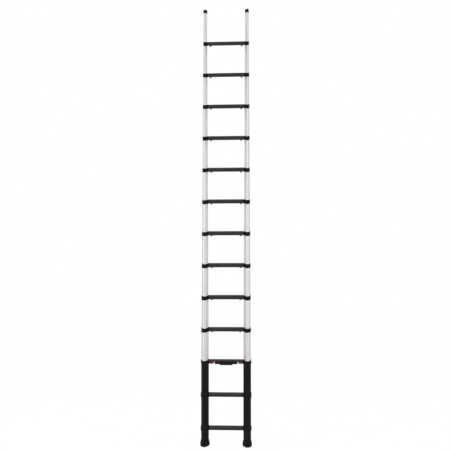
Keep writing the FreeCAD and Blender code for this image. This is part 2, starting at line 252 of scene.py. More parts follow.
def faced_outward(mesh):
    """Turns the faces of a closed mesh outwards and shades it smooth, except over its sharp edges.

    Its end faces are split into triangles with short sides first, so that a curved end stays curved.
    """
    work = bmesh.new()
    work.from_mesh(mesh)
    ends = [face for face in work.faces if len(face.verts) > 4]
    bmesh.ops.triangulate(work, faces=ends, ngon_method="BEAUTY")
    bmesh.ops.recalc_face_normals(work, faces=work.faces)
    if work.calc_volume(signed=True) < 0:
        bmesh.ops.reverse_faces(work, faces=work.faces)
    work.to_mesh(mesh)
    work.free()
    mesh.polygons.foreach_set("use_smooth", np.ones(len(mesh.polygons), bool))
    mesh.set_sharp_from_angle(angle=smooth_up_to)
    return mesh


def place(mesh, finish, body, node):
    """Puts a finished mesh on a body of the ladder, in place of a solid of one node."""
    mesh.materials.append(finish)
    piece = bpy.data.objects.new(mesh.name, mesh)
    scene.collection.objects.link(piece)
    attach(piece, body)
    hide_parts(node)


def tube_skin(name, inset, side, low, high):
    """A tube: up its outside, over the sawn end, down its bore and under the other end."""
    bore = inset + tube_wall
    steps = ((inset + saw_edge, low, 0.7), (inset, low + saw_edge, 1.0), (inset, low + rub_reach, 0.0),
             (inset, high - rub_reach, 0.0), (inset, high - saw_edge, 1.0), (inset + saw_edge, high, 0.7),
             (bore - saw_edge, high, 0.4), (bore, high - saw_edge, 0.0), (bore, low + saw_edge, 0.0),
             (bore - saw_edge, low, 0.4))
    return skin(name, [(stile_ring(-in_by, side, rise), rubbed) for in_by, rise, rubbed in steps], True)


def cut_from(solid, drill):
    """A closed mesh less another, by an exact Boolean, under the first one's name."""
    label = solid.name
    blank, cutter = (bpy.data.objects.new(mesh.name, mesh) for mesh in (solid, drill))
    for made in (blank, cutter):
        scene.collection.objects.link(made)
    cut = blank.modifiers.new("cut", "BOOLEAN")
    cut.operation, cut.solver, cut.object = "DIFFERENCE", "EXACT", cutter
    graph = bpy.context.evaluated_depsgraph_get()
    rest = bpy.data.meshes.new_from_object(blank.evaluated_get(graph), preserve_all_data_layers=True,
                                           depsgraph=graph)
    for mesh in (solid, drill):
        bpy.data.meshes.remove(mesh)
    rest.name = label
    return faced_outward(rest)


def pin_drill(side, name, near, far):
    """A round bar with a clearance round a lock pin, between two distances from the middle."""
    pin_low, pin_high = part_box(f"lock_pin_{name}")
    radius = (pin_high.z - pin_low.z) / 2 + pin_clearance
    middle = (side * (near + far) / 2, (pin_low.y + pin_high.y) / 2, (pin_low.z + pin_high.z) / 2)
    bar = bmesh.new()
    bmesh.ops.create_cone(bar, cap_ends=True, segments=48, radius1=radius, radius2=radius, depth=far - near,
                          matrix=Matrix.Translation(middle) @ Matrix.Rotation(math.pi / 2, 4, "Y"))
    drill = bpy.data.meshes.new("drill")
    bar.to_mesh(drill)
    bar.free()
    return drill


def apex_x(inset):
    """Distance of a tube's apex from the ladder's middle."""
    return (stile_spacing - stile_width) / 2 + inset


def drilled(tube, side, name):
    """A tube with the lock pin's hole through its inner side."""
    return cut_from(tube, pin_drill(side, name, apex_x(0) - drill_lead, apex_x(0) + stile_corner))


def group(name, inputs, outputs):
    """A shader node group, with inputs by label and value and outputs by label; "Color" marks a colour."""
    tree = bpy.data.node_groups.new(name, "ShaderNodeTree")
    for in_out, labels in (("INPUT", inputs), ("OUTPUT", outputs)):
        for label in labels:
            kind = "NodeSocketColor" if "Color" in label else "NodeSocketFloat"
            socket = tree.interface.new_socket(name=label, in_out=in_out, socket_type=kind)
            if in_out == "INPUT":
                socket.default_value = inputs[label]
    return tree, tree.nodes.new("NodeGroupInput").outputs, tree.nodes.new("NodeGroupOutput").inputs


def color_mix(tree, share, first, second):
    """The output of a colour mix: none of the second colour at a share of 0, all of it at 1."""
    made = node_in(tree, "ShaderNodeMix", share, data_type="RGBA")
    tree.links.new(first, made.inputs[6])
    tree.links.new(second, made.inputs[7])
    return made.outputs[2]


def cloud(tree, where, scale, detail, rough):
    """The output of a Noise node over a place."""
    made = node_in(tree, "ShaderNodeTexNoise", Vector=where, Scale=scale, Detail=detail, Roughness=rough)
    return made.outputs[0]


def spread(tree, value, low, high, low_in=0.3, high_in=0.7):
    """The output of a Map Range node, which takes low_in..high_in to low..high."""
    made = node_in(tree, "ShaderNodeMapRange", Value=value, From_Min=low_in, From_Max=high_in, To_Min=low,
                   To_Max=high)
    return made.outputs["Result"]


def object_place(tree):
    """A socket with the place on the object, in metres."""
    return tree.nodes.new("ShaderNodeTexCoord").outputs["Object"]


# The pebbled grain of a powder coat or a moulding, and a slow mottle over it.
tree, given, put = group("surface_grain", {"Grain Scale": 1400.0}, ("Height", "Mottle"))
where = object_place(tree)
tree.links.new(cloud(tree, where, given["Grain Scale"], detail=2.0, rough=0.6), put["Height"])
tree.links.new(cloud(tree, where, 22.0, detail=4.0, rough=0.55), put["Mottle"])

# Edges rubbed lighter in patches, where the attribute "wear" is more than 0.
tree, given, put = group("rubbed_edges", {"Color": (0.5, 0.5, 0.5, 1), "Rubbed Color": (0.8, 0.8, 0.8, 1),
                                          "Amount": 0.5}, ("Color",))
edge = node_in(tree, "ShaderNodeAttribute", attribute_name="wear")
worn_from = 0.62                # level of the cloud where a patch starts, at an amount of 0
patch = cloud(tree, object_place(tree), 75.0, detail=5.0, rough=0.62)
more = sum_of(tree, "MULTIPLY", given["Amount"], 0.5)
patch = sum_of(tree, "ADD", sum_of(tree, "SUBTRACT", patch, worn_from), more)
mask = sum_of(tree, "MULTIPLY", spread(tree, patch, 0.0, 1.0, 0.0, 0.3), edge.outputs["Fac"])
tree.links.new(color_mix(tree, mask, given["Color"], given["Rubbed Color"]), put["Color"])

# A thin film of pale dust, thickest on what faces up.
tree, given, put = group("dust_film", {"Color": (0.5, 0.5, 0.5, 1), "Dust Color": (0.42, 0.40, 0.37, 1),
                                       "Amount": 0.1}, ("Color",))
facing = node_in(tree, "ShaderNodeSeparateXYZ", node_in(tree, "ShaderNodeNewGeometry").outputs["Normal"])
least_dust = 0.06               # on what faces sideways or down
settled = sum_of(tree, "MAXIMUM", facing.outputs["Z"], least_dust)
settled = sum_of(tree, "MULTIPLY", settled, cloud(tree, object_place(tree), 90.0, detail=6.0, rough=0.65))
mask = sum_of(tree, "MULTIPLY", settled, given["Amount"])
tree.links.new(color_mix(tree, mask, given["Color"], given["Dust Color"]), put["Color"])


def with_group(tree, name, **values):
    """A node group placed in a material, with its values by label."""
    return node_in(tree, "ShaderNodeGroup", node_tree=bpy.data.node_groups[name], **values)


def mottled(tree, color, mottle, depth):
    """A colour made darker and lighter by up to a share, along with a mottle."""
    value = spread(tree, mottle, 1 - depth, 1 + depth)
    return node_in(tree, "ShaderNodeHueSaturation", Color=color, Value=value).outputs["Color"]


def bumped(tree, height, depth, strength):
    """The normal of a surface with fine relief."""
    return node_in(tree, "ShaderNodeBump", Height=height, Distance=depth, Strength=strength).outputs["Normal"]


def grained_finish(name, color, rubbed, roughness, specular, grain, wear=0.5, dust=0.02, mottle=0.3):
    """A grained coat or moulding: mottled colour, rubbed edges, a film of dust, uneven gloss, fine bump.

    grain is the grain's scale and its depth.
    """
    glossier, duller = 0.07, 0.09
    finish, tree, surface = new_finish(name)
    pebbles = with_group(tree, "surface_grain", Grain_Scale=grain[0]).outputs
    shade = mottled(tree, color, pebbles["Mottle"], mottle)
    edges = with_group(tree, "rubbed_edges", Color=shade, Rubbed_Color=rubbed, Amount=wear)
    dusty = with_group(tree, "dust_film", Color=edges.outputs["Color"], Amount=dust)
    fed(tree, surface, Base_Color=dusty.outputs["Color"], Specular_IOR_Level=specular,
        Roughness=spread(tree, pebbles["Mottle"], roughness - glossier, roughness + duller),
        Normal=bumped(tree, pebbles["Height"], grain[1], strength=0.6))
    return finish


powder_coat = grained_finish("powder_coat", coat_black, coat_scuffed, roughness=0.5, specular=0.12,
                             grain=(1500, 0.0003))
for side, name in SIDES:
    stile = drilled(tube_skin(f"base_stile_{name}", 0.0, side, stile_low.z, stile_high.z), side, name)
    place(stile, powder_coat, "base", "base_stiles")

# ==== Feet ============================================================
# A boot of tough black plastic is pushed on the end of each stile and flares out
# to a wider foot. A rubber pad is moulded under it, with a ribbed sole that is cut
# on the slant, so that it lies flat when the ladder leans.
boot_low, boot_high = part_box("foot_boots")
pad_low, pad_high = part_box("foot_pads")
lean = math.radians(17.0)
slope = math.tan(lean)
foot_proud = (boot_high.y - boot_low.y - stile_depth) / 2
boot_top_proud = 0.0025
boot_skirt_top = 0.032          # the flare starts to narrow here
sole_rise = (pad_high.y - pad_low.y) / 2 * slope
pad_thickness = 0.008
pad_rise = pad_thickness / math.cos(lean)
foot_fit = 0.00012              # between the boot and the stile
foot_round = 0.0016             # rounding of the boot's rims and the pad's edge
sole_rib = 0.0075               # from rib to rib
sole_groove = 0.0014            # depth between the ribs
sole_reach = 0.05               # about half of the sole, from its middle to its edge
pad_top_round = 0.0004
pad_core = 0.02                 # share of the pad's size at its innermost ring
boot_black = (0.004, 0.004, 0.004, 1)
boot_rubbed = (0.04, 0.04, 0.041, 1)
pad_black = (0.012, 0.0118, 0.0115, 1)
pad_rubbed = (0.05, 0.047, 0.043, 1)


def ease(share):
    """Runs from 0 to 1, slow at both ends: 3 s^2 - 2 s^3, held beyond them."""
    share = np.clip(share, 0, 1)
    return share * share * (3 - 2 * share)


def boot_proud(rise):
    """How far the boot stands out at a height: full at the skirt, eased in towards the top."""
    up = (rise - boot_skirt_top) / (boot_high.z - boot_skirt_top)
    return foot_proud + (boot_top_proud - foot_proud) * ease(up)


def boot_skin(name, side):
    """The boot: up the flare from the slanted joint to the top rim, then down inside to its floor.

    A ring at a share s of the way up has z = (1 - s) * (slanted plane) + s * (top),
    and stands out by boot_proud(z) at each of its points.
    """
    joint = stile_ring(foot_proud, side, sole_rise + pad_rise, slope)[:, 2]
    rows = [(stile_ring(foot_proud - foot_round, side, sole_rise + pad_rise, slope), 0.3)]
    for share in np.linspace(0, 1, 26):
        rise = joint + share * (boot_high.z - foot_round - joint)
        rise = rise + (foot_round if share == 0 else 0)
        ring = stile_ring(boot_proud(rise), side, 0)
        ring[:, 2] = rise
        rows.append((ring, 1.0 if share == 0 else 0.15 if share < 0.3 else 0.0))
    for turn in np.radians((30, 60, 90)):
        proud = boot_top_proud - foot_round * (1 - math.cos(turn))
        rows.append((stile_ring(proud, side, boot_high.z - foot_round * (1 - math.sin(turn))), 0.8))
    rows += [(stile_ring(foot_fit, side, rise), 0.2) for rise in (boot_high.z, stile_low.z)]
    return skin(name, rows, False)


def evenly(ring, count):
    """The same closed ring with its points spaced evenly along it."""
    closed = np.vstack((ring, ring[:1]))
    length = np.concatenate(([0], np.cumsum(np.linalg.norm(np.diff(closed, axis=0), axis=1))))
    at = np.linspace(0, length[-1], count, endpoint=False)
    return np.column_stack([np.interp(at, length, closed[:, axis]) for axis in range(3)])


def middle_and_half(points):
    """The middle of the box round a ring or a section, and half of its size."""
    return (points.max(axis=0) + points.min(axis=0)) / 2, (points.max(axis=0) - points.min(axis=0)) / 2


def toward_middle(ring, share):
    """A ring drawn in to its own middle in x and y, to a share of its size."""
    middle = middle_and_half(ring)[0][:2]
    drawn = ring.copy()
    drawn[:, :2] = middle + share * (ring[:, :2] - middle)
    return drawn


def pad_skin(name, side):
    """The pad: out over the ribbed sole, up its side and in over the top.

    Over the sole z = (slanted plane) + depth * (1 - cos(2 pi y / rib)) / 2, which
    fades to the plain plane over the outer tenth.
    """
    edge = evenly(stile_ring(foot_proud, side, 0), 260)
    rows = []
    for share in np.linspace(pad_core, 1, 44):
        ring = toward_middle(edge, share * (1 - foot_round / sole_reach))
        ribs = (1 - np.cos(2 * math.pi * ring[:, 1] / sole_rib)) / 2
        ring[:, 2] = sole_rise + slope * ring[:, 1] + sole_groove * ribs * ease((1 - share) * 10)
        rows.append((ring, 0.5))
    for share, up, rubbed in ((1.0, foot_round, 1.0), (1.0, pad_rise - pad_top_round, 0.2),
                              (1 - pad_top_round / sole_reach, pad_rise, 0.0), (pad_core, pad_rise, 0.0)):
        ring = toward_middle(edge, share)
        ring[:, 2] = sole_rise + slope * ring[:, 1] + up
        rows.append((ring, rubbed))
    return skin(name, rows, False)


boot_plastic = grained_finish("boot_plastic", boot_black, boot_rubbed, roughness=0.55, specular=0.1,
                              grain=(900, 0.0004), wear=0.6, dust=0.03)
pad_rubber = grained_finish("pad_rubber", pad_black, pad_rubbed, roughness=0.8, specular=0.1,
                            grain=(420, 0.0005), wear=0.7, dust=0.06)
for side, name in SIDES:
    place(boot_skin(f"boot_{name}", side), boot_plastic, "base", "foot_boots")
    place(pad_skin(f"pad_{name}", side), pad_rubber, "base", "foot_pads")

# ==== Fixed rungs =====================================================
# Two hollow bars of black-anodised aluminium, extruded with a flat grooved tread
# and a rounded belly, and sawn to length. They hold the two stiles apart. Every
# tread is turned to lie level when the ladder leans.
rung_depth = 0.038
rung_height = 0.034
tread_corner = 0.004
belly_corner = 0.009
rung_wall = 0.0018
groove_count = 5
groove_step = 0.0056
groove_width = 0.0024
groove_depth = 0.0009
groove_ease = 0.00025           # the grooves' rims and flanks
rung_saw_edge = 0.0003
least_radius = 0.0005           # of a corner that is drawn in
rung_rub_reach = 0.006          # how far rubbing fades from a rung's sawn end
nosing_reach = 0.005            # and below its tread
anodised_black = (0.030, 0.030, 0.030, 1)
anodised_rubbed = (0.150, 0.148, 0.145, 1)


def corner_arc(y, z, radius, start):
    """A quarter turn of points about (y, z), anticlockwise from an angle in degrees."""
    angles = np.radians(start + np.linspace(0, 90, 11))
    return np.column_stack((y + radius * np.cos(angles), z + radius * np.sin(angles)))


def tread_line(half, top, depth):
    """Points along a tread, from the rear to the front, that dip by depth at each groove."""
    shares = np.array((groove_width / 2 + groove_ease, groove_width / 2, groove_width / 2 - groove_ease))
    across = np.concatenate((shares, -shares[::-1]))
    dips = np.array((0.0, 0.25, 1.0, 1.0, 0.25, 0.0))
    middles = (np.arange(groove_count) - (groove_count - 1) / 2)[::-1] * groove_step
    y = (middles[:, None] + across).ravel()
    z = top - depth * np.tile(dips, groove_count)
    return np.column_stack((y, z))


def rung_outline(inset, height, depth):
    """A rung's section, as rows of y and z, level, about the middle of a full rung.

    The four corners are quarter turns; the tread between the first two has its
    grooves, and the belly between the others has points evenly along it. inset
    draws all of it in, and the radii become that much less.
    """
    half = rung_depth / 2 - inset
    top = rung_height / 2 - inset
    bottom = rung_height / 2 - height + inset
    upper = max(tread_corner - inset, least_radius)
    lower = max(min(belly_corner, height / 2) - inset, least_radius)
    belly = np.linspace(lower - half, half - lower, 13)[1:-1]
    lines = [corner_arc(half - upper, top - upper, upper, 0), tread_line(half, top, depth),
             corner_arc(-half + upper, top - upper, upper, 90),
             corner_arc(-half + lower, bottom + lower, lower, 180),
             np.column_stack((belly, np.full(len(belly), bottom))),
             corner_arc(half - lower, bottom + lower, lower, 270)]
    return np.vstack(lines)


def leaned(level, rise):
    """Level points turned to the lean about the X axis, then lifted to a height."""
    x, y, z = np.moveaxis(np.asarray(level, float), -1, 0)
    return np.stack((x, y * math.cos(lean) - z * math.sin(lean),
                     rise + y * math.sin(lean) + z * math.cos(lean)), axis=-1)


def at_x(outline, x):
    """A section in y and z, set at one x."""
    return np.column_stack((np.full(len(outline), x), outline))


def rung_rise(node):
    """Height of the middle of a full rung, from the top of the node's box."""
    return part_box(node)[1].z - leaned(at_x(rung_outline(0, rung_height, 0), 0), 0)[:, 2].max()


def rung_skin(name, node, height):
    """A rung: along its outside, over one sawn end, back along its bore and out at the other."""
    low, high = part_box(node)
    steps = ((low.x, rung_saw_edge, 1), (low.x + rung_saw_edge, 0, 1), (low.x + rung_rub_reach, 0, 1),
             (high.x - rung_rub_reach, 0, 1), (high.x - rung_saw_edge, 0, 1), (high.x, rung_saw_edge, 1),
             (high.x, rung_wall, 0), (low.x, rung_wall, 0))
    rings = [at_x(rung_outline(inset, height, groove_depth * outer), x) for x, inset, outer in steps]
    outline = rung_outline(0, height, 0)
    nosing = ease(1 - (rung_height / 2 - outline[:, 1]) / nosing_reach) * 0.8
    wear = [nosing * outer for x, inset, outer in steps]
    return skin(name, zip(leaned(rings, rung_rise(node)), wear), True)


rung_anodised = grained_finish("rung_anodised", anodised_black, anodised_rubbed, roughness=0.5,
                               specular=0.18, grain=(1800, 0.00012), wear=0.3, mottle=0.16)
for level in ("lower", "upper"):
    node = f"fixed_rung_{level}"
    place(rung_skin(node, node, rung_height), rung_anodised, "base", node)

# ==== Fixed rung collars ==============================================
# Thick moulded collars of black nylon, pushed along the base stiles and fixed
# where the two rungs plug into them. The sleeve bulges a little round the stile,
# and a stub on its inner side meets the rung and fills its end.
boss_length = 0.006             # stub beyond the tube's apex
spigot_length = 0.012           # plug inside the rung
collar_fit = 0.00012
collar_round = 0.001            # rounding of the rims
fixed_collar_height = 0.036
fixed_collar_proud = 0.005
fixed_collar_bulge = 0.0011     # middle beyond the rims
boss_flare = 0.003              # the stub widens this much towards the sleeve
plug_tip = 0.001                # the end of the plug narrows over this
plug_taper = 0.08               # by this share
nylon_black = (0.0045, 0.0045, 0.0046, 1)
nylon_rubbed = (0.050, 0.050, 0.051, 1)


def sleeve_profile(height, proud, bulge):
    """Outside of a sleeve from its lower rim to its upper rim: distance out, level and wear.

    Each rim is a quarter turn. Between them the wall bows out by bulge * (1 - s^2).
    """
    turn = np.linspace(0, math.pi / 2, 5)
    half = height / 2 - collar_round
    share = np.linspace(-1, 1, 9)
    low_out = proud - bulge - collar_round + collar_round * np.sin(turn)
    out = np.concatenate((low_out, proud - bulge * share[1:-1]**2, low_out[::-1]))
    level = np.concatenate((-half - collar_round * np.cos(turn), half * share[1:-1],
                            half + collar_round * np.cos(turn[::-1])))
    wear = np.concatenate((np.ones(5), np.zeros(7), np.ones(5)))
    return out, level, wear


def sleeve_skin(name, inset, side, rise, height, proud, bulge, tube_end=None):
    """A leaning sleeve round a tube: z = rise + level / cos(lean) + y * tan(lean).

    Where the tube ends inside it, its lip closes over the wall of the tube at a
    square step, and its bore above is the tube's own.
    """
    bore = collar_fit - inset
    upper, lower = (rise + rim / math.cos(lean) for rim in (height / 2, -height / 2))
    rows = [(stile_ring(away - inset, side, rise + up / math.cos(lean), slope), rubbed)
            for away, up, rubbed in zip(*sleeve_profile(height, proud, bulge))]
    if tube_end is None:
        rows.append((stile_ring(bore, side, upper, slope), 0.0))
    else:
        tube_bore = -inset - tube_wall
        rows += [(stile_ring(tube_bore, side, upper, slope), 0.0),
                 (stile_ring(tube_bore, side, tube_end), 0.0), (stile_ring(bore, side, tube_end), 0.0)]
    rows.append((stile_ring(bore, side, lower, slope), 0.0))
    return skin(name, rows, True)


def inner_side_x(out, y):
    """Distance of a stile's inner side from the ladder's middle, at each y, moved out by a distance."""
    flat = outline_points + out * outline_ways
    rear = flat[(flat[:, 1] >= -1e-9) & (flat[:, 0] <= flat[flat[:, 1].argmax(), 0])]
    rear = rear[rear[:, 1].argsort()]
    return stile_spacing / 2 + np.interp(np.abs(y), rear[:, 1], rear[:, 0])


def boss_skin(name, inset, side, rise, proud, spigot_height):
    """The stub and its plug: from inside the sleeve's wall, out to the rung's end, and into the rung.

    The root follows the sleeve: each of its points has the x where the middle of
    the sleeve's wall is at that y, and its end is closed along that curve. From
    there the section narrows to the rung's own by a quarter of a wave.
    """
    face = apex_x(inset) - boss_length
    plain = rung_outline(0, rung_height, 0)
    rows = []
    for share, tall in [(0, 0.01), (0, 0.35), (0, 0.7)] + [(share, 1) for share in np.linspace(0, 1, 8)]:
        section = plain * (1, tall)
        section[:, 0] *= 1 + boss_flare / (rung_depth / 2) * (1 - math.sin(share * math.pi / 2))
        turned = leaned(at_x(section, 0), 0)
        root = inner_side_x((proud + collar_fit) / 2 - inset, turned[:, 1])
        turned[:, 0] = side * (root + (face - root) * share)
        turned[:, 2] += rise
        rows.append((turned, 0.0 if share < 1 else 0.4))
    plug = rung_outline(rung_wall + collar_fit, spigot_height, 0)
    middle = middle_and_half(plug)[0]
    tip = face - spigot_length
    for x, narrower in ((face, 0.0), (tip + plug_tip, 0.0), (tip, plug_taper)):
        section = middle + (plug - middle) * (1 - narrower)
        rows.append((leaned(at_x(section, side * x), rise), 0.0))
    return skin(name, rows, False)


def joined(first, second):
    """Two closed meshes as one, under the first one's name, with their wear and sharp edges."""
    both = bmesh.new()
    both.from_mesh(first)
    both.from_mesh(second)
    both.to_mesh(first)
    both.free()
    bpy.data.meshes.remove(second)
    return first


def collar_skin(name, inset, side, rise, height, proud, bulge, spigot_height, tube_end=None):
    """A collar: its sleeve and its stub."""
    sleeve = sleeve_skin(name, inset, side, rise, height, proud, bulge, tube_end)
    return joined(sleeve, boss_skin(f"{name}_stub", inset, side, rise, proud, spigot_height))


collar_nylon = grained_finish("collar_nylon", nylon_black, nylon_rubbed, roughness=0.52, specular=0.1,
                              grain=(1100, 0.00035))
for level in ("lower", "upper"):
    rise = rung_rise(f"fixed_rung_{level}")
    for side, name in SIDES:
        collar = collar_skin(f"fixed_collar_{level}_{name}", 0, side, rise, fixed_collar_height,
                             fixed_collar_proud, fixed_collar_bulge, rung_height)
        place(collar, collar_nylon, "base", "fixed_rung_collars")

# ==== Base collars ====================================================
# The collars that close the tops of the base stiles. The first stage slides
# through them, and the release rung plugs into them. A nose on each holds the
# lock pin in line, and a slide's pocket runs on it.
collar_height = 0.035
base_collar_proud = 0.003
base_collar_bulge = 0.0004
release_tread_height = 0.012
release_rise = rung_rise("release_rung")
guide_depth = 0.016
guide_height = 0.017
guide_round = 0.002             # corners of the nose's section
nose_round = 0.0006             # rounding of its end
nose_root = 0.001               # how far it starts inside the stub
pin_below_rung = 0.0073         # pin line below the middle of the release rung
lock_travel = 0.006             # length of the nose, and travel of a slide
bar_steps = 58                  # sections between the rounded ends of a bar
corner_from = 1.72              # share across plus share up where a corner starts to be rubbed
corner_over = 0.12              # and it is fully rubbed this much further out


def block_outline(depth, low, high, radius):
    """A section in y and z: a rectangle with quarter-turn corners."""
    half = depth / 2 - radius
    middles = ((half, high - radius), (-half, high - radius), (-half, low + radius), (half, low + radius))
    return np.vstack([corner_arc(y, z, radius, 90 * turn) for turn, (y, z) in enumerate(middles)])


def bar_skin(name, low_x, high_x, outline, round_by, rise, shape=None):
    """A section carried along X with rounded ends, then leaned.

    Towards each end the section is drawn in about its own middle by round_by *
    (1 - sin), as a quarter turn. shape(x, section) gives the section back with
    its ribs or taper. The ends and the four long corners are rubbed.
    """
    middle, half = middle_and_half(outline)
    turn = np.linspace(0, math.pi / 2, 7)
    along, inward = round_by * (1 - np.cos(turn)), round_by * (1 - np.sin(turn))
    between = np.linspace(low_x + round_by, high_x - round_by, bar_steps + 2)[1:-1]
    xs = np.concatenate((low_x + along, between, high_x - along[::-1]))
    drawn = np.concatenate((inward, np.zeros(bar_steps), inward[::-1]))
    corner = (np.abs(outline - middle) / half).sum(axis=1)
    rubbed = ease((corner - corner_from) / corner_over) * 0.8
    rows = []
    for x, in_by in zip(xs, drawn):
        section = middle + (outline - middle) * (1 - in_by / half)
        if shape is not None:
            section = shape(x, section)
        rows.append((leaned(at_x(section, x), rise), np.maximum(rubbed, 0.7 if in_by > 0 else 0.0)))
    return skin(name, rows, False)


def guide_outline(gap):
    """Section of the nose round a lock pin's line, or of the pocket that runs on it."""
    line = -pin_below_rung * math.cos(lean)
    half = guide_height / 2 + gap
    outline = block_outline(guide_depth + 2 * gap, line - half, line + half, guide_round + gap)
    return outline - (pin_below_rung * math.sin(lean), 0)


for side, name in SIDES:
    collar = collar_skin(f"base_collar_{name}", 0, side, release_rise, collar_height, base_collar_proud,
                         base_collar_bulge, release_tread_height, stile_high.z)
    face = apex_x(0) - boss_length
    ends = sorted((side * (face - lock_travel), side * (face + nose_root)))
    nose = bar_skin(f"base_collar_nose_{name}", *ends, guide_outline(0), nose_round, release_rise)
    nose = cut_from(nose, pin_drill(side, name, face - lock_travel - drill_lead, face + drill_lead))
    place(joined(collar, nose), collar_nylon, "base", "base_collars")

# ==== Release rung ====================================================
# A thin tread of the same extrusion with a moulded housing fixed under its middle.
# The housing holds the squeeze trigger and guides the two links.
housing_length = 0.204
housing_depth = 0.034
housing_height = 0.026
housing_round = 0.0045
under_tread = rung_height / 2 - release_tread_height
housing_floor = under_tread - housing_height
housing_black = (0.01, 0.01, 0.0105, 1)

place(rung_skin("release_rung_tread", "release_rung", release_tread_height), rung_anodised, "base",
      "release_rung")
housing_plastic = grained_finish("housing_plastic", housing_black, nylon_rubbed, roughness=0.5,
                                 specular=0.12, grain=(1000, 0.0004))
housing = bar_skin("release_rung_housing", -housing_length / 2, housing_length / 2,
                   block_outline(housing_depth, housing_floor, under_tread, housing_round),
                   housing_round, release_rise)
place(housing, housing_plastic, "base", "release_housing")

# ==== Trigger =========================================================
# A bar under the housing, squeezed up against it with the fingers. Inside, its
# wedge draws both links inwards. The fingers' side is ribbed and its ends are round.
trigger_depth = 0.022
trigger_stem_length = 0.108
trigger_grip_length = 0.117
ribbed_length = 0.101
trigger_grip_height = 0.0096
squeeze_travel = 0.002
running_gap = 0.0003
grip_rib = 0.006
grip_rib_depth = 0.0006
grip_rib_fade = 0.004           # the ribs fade out over this, at both ends
grip_corner = 0.003
grip_round = 0.0048
stem_lap = 0.001                # the stem starts this far inside the grip
stem_reach = 0.009              # and ends this far inside the housing
stem_corner = 0.0008
stem_round = 0.0006
trigger_black = (0.007, 0.007, 0.0075, 1)
grip_top = housing_floor - squeeze_travel - running_gap
grip_foot = grip_top - trigger_grip_height


def finger_ribs(x, section):
    """Ripples the lower face of the grip along X, but for its ends."""
    low = (grip_top - section[:, 1]) / trigger_grip_height
    inside = ease((ribbed_length / 2 - abs(x)) / grip_rib_fade)
    ripple = grip_rib_depth * (1 - math.cos(2 * math.pi * x / grip_rib)) / 2
    return section + np.column_stack((0 * low, ripple * ease(low * 2 - 1) * inside))


trigger_plastic = grained_finish("trigger_plastic", trigger_black, nylon_rubbed, roughness=0.48,
                                 specular=0.1, grain=(1000, 0.0003), dust=0.01)
grip = bar_skin("release_trigger_grip", -trigger_grip_length / 2, trigger_grip_length / 2,
                block_outline(trigger_depth, grip_foot, grip_top, grip_corner), grip_round, release_rise,
                finger_ribs)
stem = bar_skin("release_trigger_stem", -trigger_stem_length / 2, trigger_stem_length / 2,
                block_outline(trigger_depth, grip_top - stem_lap, housing_floor + stem_reach, stem_corner),
                stem_round, release_rise)
place(joined(grip, stem), trigger_plastic, "release_trigger", "release_trigger")

# ==== Slides, links and lock pins =====================================
# A red slide at each end of the release rung carries a steel lock pin. A steel
# strip links it to the trigger's wedge. Drawn in by thumb or trigger, the pins let
# the first stage go.
slide_depth = 0.026
slide_rib = 0.004
slide_rib_depth = 0.0007
slide_length = 0.033
slide_taper = 0.005             # how far its floor has risen at the inner end
slide_taper_from = 0.142        # from the middle of the ladder
slide_corner = 0.003
pocket_round = 0.0001
pocket_mouth = 0.001            # the pocket's cutter starts this far outside the slide
slide_red = (0.330, 0.020, 0.022, 1)
slide_red_rubbed = (0.420, 0.085, 0.080, 1)
steel_tone = (0.50, 0.50, 0.49, 1)


def thumb_ribs(x, section):
    """Ripples a slide's front, rear and underside along X, and raises its floor towards the trigger."""
    ripple = slide_rib_depth * (1 - math.cos(2 * math.pi * x / slide_rib)) / 2
    middle, half = middle_and_half(section)
    ribbed = middle + (section - middle) * (1 - ripple / half)
    lift = slide_taper * ease((slide_taper_from - abs(x)) / slide_length)
    ribbed[:, 1] += lift * (middle[1] + half[1] - ribbed[:, 1]) / (2 * half[1])
    return ribbed


slide_plastic = grained_finish("slide_plastic", slide_red, slide_red_rubbed, roughness=0.42, specular=0.2,
                               grain=(1200, 0.0002))
for side, name in SIDES:
    low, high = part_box(f"release_slide_{name}")
    outline = block_outline(slide_depth, housing_floor, under_tread - running_gap, slide_corner)
    slide = bar_skin(f"slide_{name}", low.x, high.x, outline, slide_corner, release_rise, thumb_ribs)
    outer = max(high.x, -low.x)
    ends = sorted((side * (outer - lock_travel), side * (outer + pocket_mouth)))
    pocket = bar_skin("pocket", *ends, guide_outline(running_gap), pocket_round, release_rise)
    place(cut_from(slide, pocket), slide_plastic, f"release_{name}", f"release_slide_{name}")


def bare_metal(name, color, roughness, along, line_scale, depth, tarnish=0.10):
    """Drawn or ground metal: fine lines along the X or the Z axis over a slow tarnish."""
    glossier, duller = 0.05, 0.06
    finish, tree, surface = new_finish(name)
    lines = with_group(tree, "drawn_lines", Across=line_scale, **{f"Along_{along}": 1.0}).outputs
    brighter = (*(1.25 * part for part in color[:3]), 1)
    edges = with_group(tree, "rubbed_edges", Color=mottled(tree, color, lines["Tarnish"], tarnish),
                       Rubbed_Color=brighter, Amount=0.5)
    fed(tree, surface, Metallic=1.0, Base_Color=edges.outputs["Color"],
        Roughness=spread(tree, lines["Lines"], roughness - glossier, roughness + duller),
        Normal=bumped(tree, lines["Lines"], depth, strength=0.5))
    return finish


